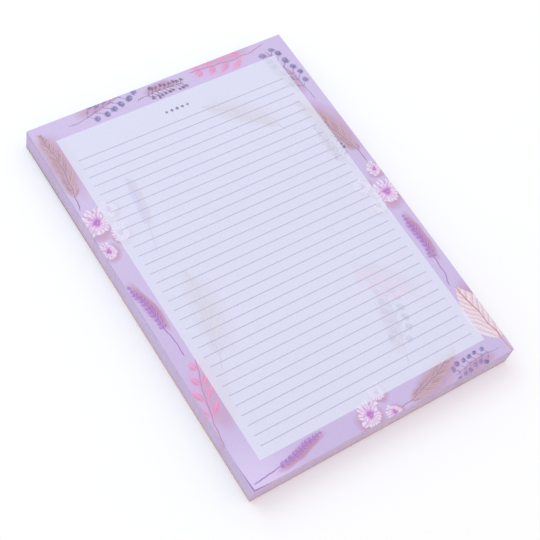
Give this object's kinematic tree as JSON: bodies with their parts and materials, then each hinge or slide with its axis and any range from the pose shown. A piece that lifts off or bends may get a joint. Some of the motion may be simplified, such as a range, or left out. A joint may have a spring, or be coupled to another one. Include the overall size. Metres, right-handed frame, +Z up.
{
  "type": "legal pad",
  "caption": "Head-glued tear-off writing pad: a block of lilac-bordered ruled leaves on a stiff backing board, with one corner of the top leaf lifted.",
  "frame": {"origin": "middle of the pad's footprint, on the surface that it lies on", "axes": "+X right across the ruling as read, +Y up the page towards the glued head, +Z up out of the page"},
  "size_m": [0.148, 0.2102, 0.0145],
  "materials": {
    "greyboard": "uncoated recycled greyboard, pinkish grey-brown",
    "leaf_edges": "guillotined edges of lilac-printed leaves",
    "lilac_print": "smooth uncoated writing paper printed lilac",
    "padding_glue": "brushed film of white padding glue, dried clear",
    "pale_panel_print": "pale blue-lilac print on paper",
    "rule_ink": "thin grey-violet ruling",
    "mark_ink": "dark grey-violet print",
    "white_pink_print": "white-pink print",
    "rose_print": "rose-pink print",
    "violet_print": "violet print",
    "slate_print": "blue-grey print",
    "straw_print": "straw and ochre print"
  },
  "bodies": {
    "root": {"backing_board": "greyboard", "page_block": "leaf_edges", "top_sheet": "lilac_print", "head_glue": "padding_glue", "writing_panel": "pale_panel_print", "ruled_lines": "rule_ink", "title_marks": "mark_ink", "blossom_print": "white_pink_print", "rose_print": "rose_print", "violet_print": "violet_print", "slate_print": "slate_print", "straw_print": "straw_print"}
  },
  "joints": []
}
